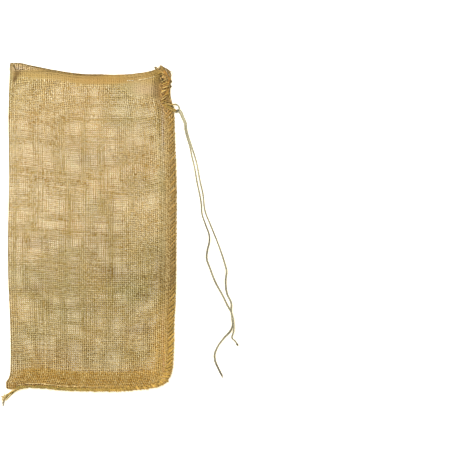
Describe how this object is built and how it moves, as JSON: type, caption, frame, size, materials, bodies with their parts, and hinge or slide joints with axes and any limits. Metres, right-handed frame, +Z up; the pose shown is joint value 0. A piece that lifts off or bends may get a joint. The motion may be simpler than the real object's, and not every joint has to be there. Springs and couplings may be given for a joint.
{
  "type": "hessian sandbag with twine tie",
  "caption": "Empty open-mouthed hessian sack lying flat, with a folded side, an overedge-sewn side and bottom, and a jute twine tie hitched to its seam.",
  "frame": {"origin": "on the floor, under the middle of the sack's outline seen from above", "axes": "+X across the sack from its folded side to its sewn side, +Y from the sewn bottom to the mouth, +Z up"},
  "size_m": [0.495, 0.7209, 0.0121],
  "materials": {
    "jute_cloth": "open plain weave of undyed jute, matt and hairy",
    "jute_twine": "two-ply jute twine, matt, grey-brown",
    "jute_thread": "thick golden-brown jute sewing thread, matt"
  },
  "bodies": {
    "root": {"sack_cloth": "jute_cloth", "tie_hitch": "jute_twine", "tie_strand_left": "jute_twine", "tie_strand_right": "jute_twine", "thread_tail": "jute_thread"}
  },
  "joints": []
}
